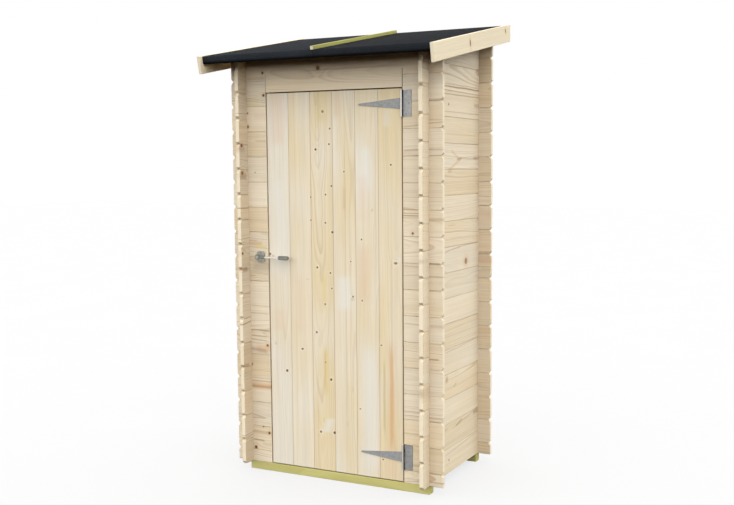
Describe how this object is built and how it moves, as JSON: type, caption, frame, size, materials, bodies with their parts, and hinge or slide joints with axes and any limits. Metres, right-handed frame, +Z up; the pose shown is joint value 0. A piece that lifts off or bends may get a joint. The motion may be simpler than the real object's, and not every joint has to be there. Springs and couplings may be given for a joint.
{
  "type": "lean-to garden shed",
  "caption": "Narrow lean-to tool shed of interlocking spruce logs with a ledged door on tee hinges, a turn-lever latch and a felted mono-pitch roof.",
  "frame": {"origin": "bottom centre of the whole shed's bounding box, on the ground", "axes": "+X to the right of someone facing the door, +Y towards the rear wall, +Z up"},
  "size_m": [1.154, 0.873, 2.086],
  "materials": {
    "spruce": "planed, untreated spruce with knots",
    "treated_pine": "green pressure-treated sawn pine",
    "roofing_felt": "dark slate-grey mineral-faced bitumen felt",
    "zinc_plate": "dull zinc-plated sheet steel",
    "bright_steel": "bright drawn steel",
    "cast_grey": "grey zinc-plated casting"
  },
  "bodies": {
    "shed": {"front_bearer": "treated_pine", "rear_bearer": "treated_pine", "floor_boards_odd": "spruce", "floor_boards_even": "spruce", "front_left_logs_odd": "spruce", "front_left_logs_even": "spruce", "front_right_logs_odd": "spruce", "front_right_logs_even": "spruce", "front_top_log": "spruce", "door_header": "spruce", "rear_logs_odd": "spruce", "rear_logs_even": "spruce", "left_wall_logs_odd": "spruce", "left_wall_logs_even": "spruce", "right_wall_logs_odd": "spruce", "right_wall_logs_even": "spruce", "left_door_post": "spruce", "right_door_post": "spruce", "roof_boards_odd": "spruce", "roof_boards_even": "spruce", "left_roofing_felt": "roofing_felt", "right_roofing_felt": "roofing_felt", "roof_batten": "treated_pine", "left_barge_board": "spruce", "right_barge_board": "spruce", "lower_hinge_plate": "zinc_plate", "upper_hinge_plate": "zinc_plate", "lower_hinge_pin": "bright_steel", "upper_hinge_pin": "bright_steel", "latch_rosette": "cast_grey"},
    "door": {"door_boards_odd": "spruce", "door_boards_even": "spruce", "door_ledges": "spruce", "door_braces": "spruce", "lower_hinge_strap": "zinc_plate", "upper_hinge_strap": "zinc_plate"},
    "latch_lever": {"latch_lever": "bright_steel", "latch_grip": "cast_grey"}
  },
  "joints": [
    {"name": "door_hinge", "type": "hinge", "parent": "shed", "child": "door", "pos_m": [0.34325, -0.26233, 0.919], "axis": [0, 0, 1], "range_deg": [0, 140]},
    {"name": "latch_turn", "type": "hinge", "parent": "shed", "child": "latch_lever", "pos_m": [-0.385, -0.28583, 1.008], "axis": [0, -1, 0], "range_deg": [0, 90]}
  ]
}
